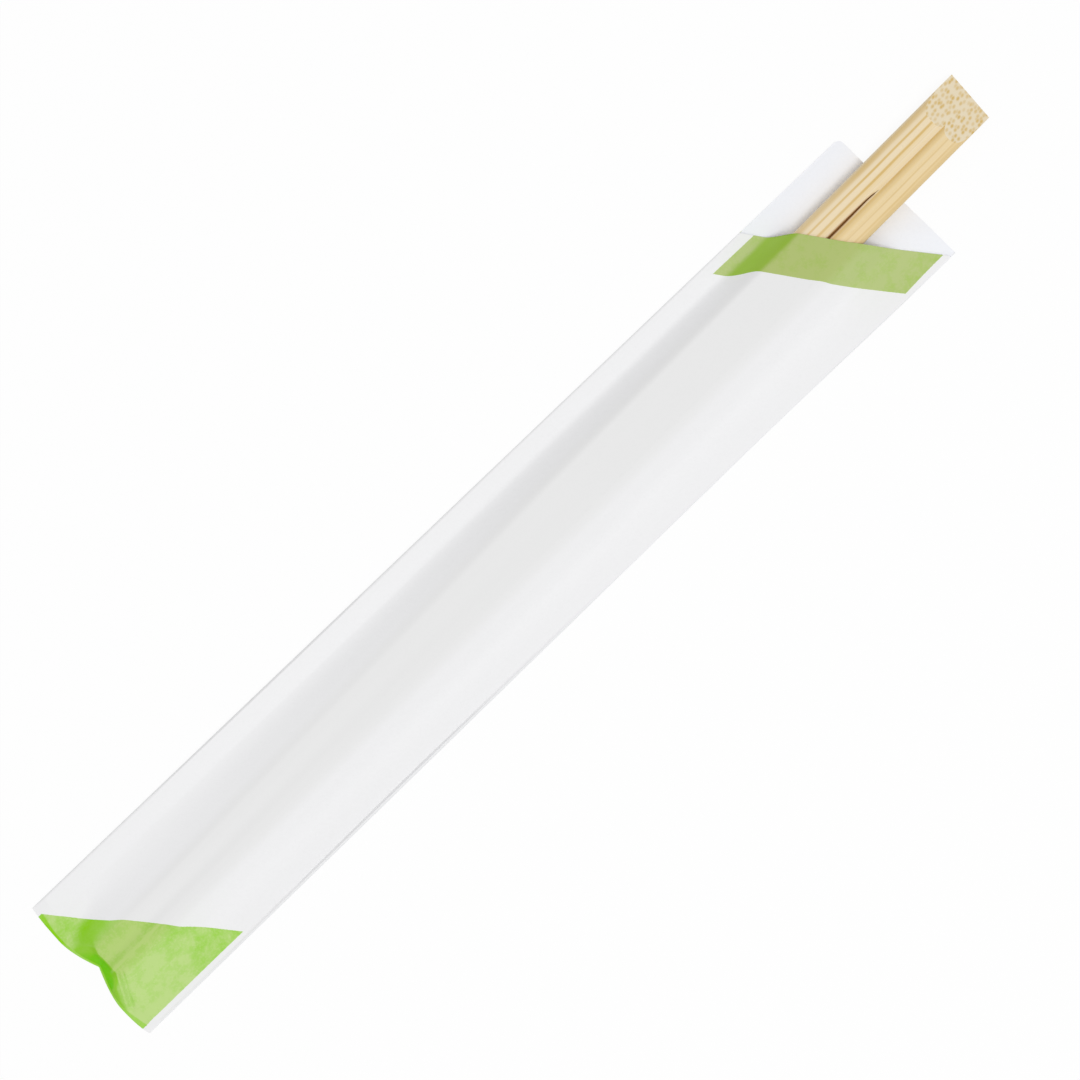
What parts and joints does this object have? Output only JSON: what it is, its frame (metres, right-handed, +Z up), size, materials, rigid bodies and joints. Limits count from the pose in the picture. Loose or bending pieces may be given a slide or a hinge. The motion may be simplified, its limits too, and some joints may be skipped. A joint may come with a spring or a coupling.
{
  "type": "bamboo chopsticks in a paper sleeve",
  "caption": "Joined bamboo chopsticks with a slanted butt and a saw cut between the sticks, lying in a folded white paper sleeve with a slanted open mouth.",
  "frame": {"origin": "middle of the length and width, on the surface that the back of the sleeve lies on", "axes": "+X from the sealed end of the sleeve to the butt of the sticks, +Z up out of the front panel"},
  "size_m": [0.2139, 0.0294, 0.005],
  "materials": {
    "bamboo": "sanded bare bamboo with long fibres",
    "paper": "thin white machine-glazed paper with pale green print"
  },
  "bodies": {
    "root": {"chopsticks": "bamboo", "paper_sleeve": "paper"}
  },
  "joints": []
}
